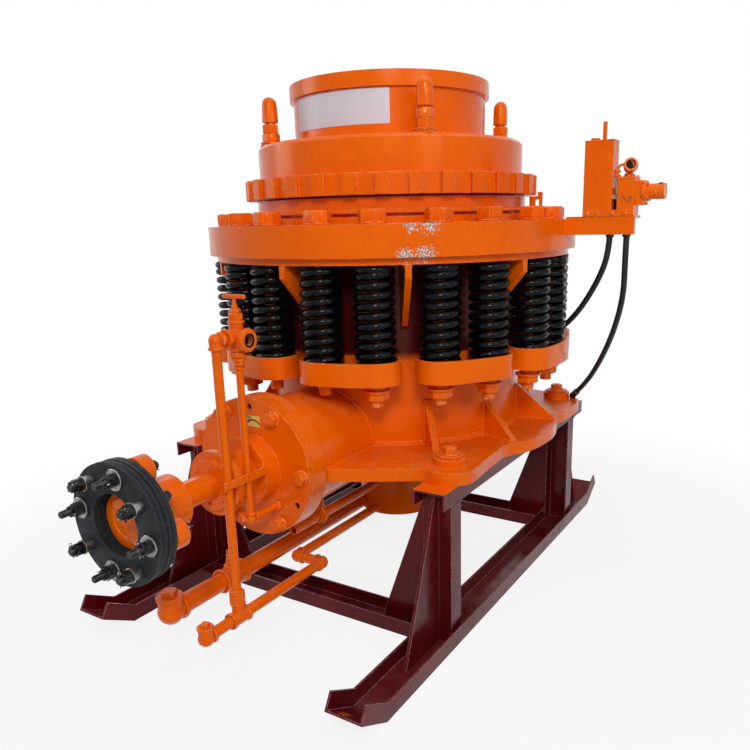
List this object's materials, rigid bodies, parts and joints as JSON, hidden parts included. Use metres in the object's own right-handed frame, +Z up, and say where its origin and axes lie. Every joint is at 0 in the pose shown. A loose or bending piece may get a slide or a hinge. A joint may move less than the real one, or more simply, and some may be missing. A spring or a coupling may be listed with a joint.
{
  "type": "spring cone crusher",
  "caption": "Spring cone crusher with feed hopper, toothed adjustment cap, spring-held ring, countershaft coupling and oil pipes on a welded channel skid.",
  "frame": {"origin": "middle of the footprint box on the floor, under the whole machine without its hoses", "axes": "+Z up along the crusher's axis, -Y towards the coupling end of the countershaft, +X towards the hydraulic unit"},
  "size_m": [1.679, 2.3, 1.7915],
  "materials": {
    "orange_paint": "gloss",
    "skid_paint": "satin",
    "spring_black": "gloss",
    "disc_rubber": "matte",
    "hose_rubber": "satin",
    "bright_pins": "satin",
    "wear_iron": "matte"
  },
  "bodies": {
    "frame": {"adjustment_ring": "orange_paint", "countershaft_bearing": "orange_paint", "countershaft_cover": "orange_paint", "cross_beam_front": "skid_paint", "cross_beam_rear": "skid_paint", "foundation_bolts": "orange_paint", "hose_lower": "hose_rubber", "hose_nipples": "orange_paint", "hose_upper": "hose_rubber", "hydraulic_bracket": "orange_paint", "hydraulic_pump": "orange_paint", "hydraulic_tank": "orange_paint", "main_frame": "orange_paint", "mantle": "wear_iron", "oil_valve": "orange_paint", "open_pipe": "orange_paint", "pawl_bracket": "orange_paint", "pipe_clamp": "orange_paint", "post_front_left": "skid_paint", "post_front_right": "skid_paint", "post_rear_left": "skid_paint", "post_rear_right": "skid_paint", "rail_left": "skid_paint", "rail_right": "skid_paint", "return_pipe": "orange_paint", "runner_left": "skid_paint", "runner_right": "skid_paint", "spring_bolts_front": "orange_paint", "spring_bolts_rear": "orange_paint", "spring_seats_front": "orange_paint", "spring_seats_rear": "orange_paint", "springs_front": "spring_black", "springs_rear": "spring_black", "supply_pipe": "orange_paint", "valve_block": "orange_paint"},
    "countershaft": {"countershaft": "orange_paint", "coupling_hub": "orange_paint", "coupling_disc": "disc_rubber", "coupling_pins": "bright_pins"},
    "bowl": {"toothed_cap": "orange_paint", "bowl": "orange_paint", "bowl_liner": "wear_iron", "bowl_bolts": "orange_paint", "feed_hopper": "orange_paint"},
    "valve_handle": {"valve_handle": "orange_paint"}
  },
  "joints": [
    {"name": "countershaft_spin", "type": "hinge", "parent": "frame", "child": "countershaft", "pos_m": [-0.1545, -0.63, 0.589], "axis": [0, 1, 0], "continuous": true},
    {"name": "bowl_turn", "type": "hinge", "parent": "frame", "child": "bowl", "pos_m": [-0.1545, 0.27, 1.4], "axis": [0, 0, 1], "range_deg": [-45, 45]},
    {"name": "valve_handle_turn", "type": "hinge", "parent": "frame", "child": "valve_handle", "pos_m": [-0.0595, -0.702, 1.11], "axis": [0, 0, 1], "range_deg": [0, 90]}
  ]
}
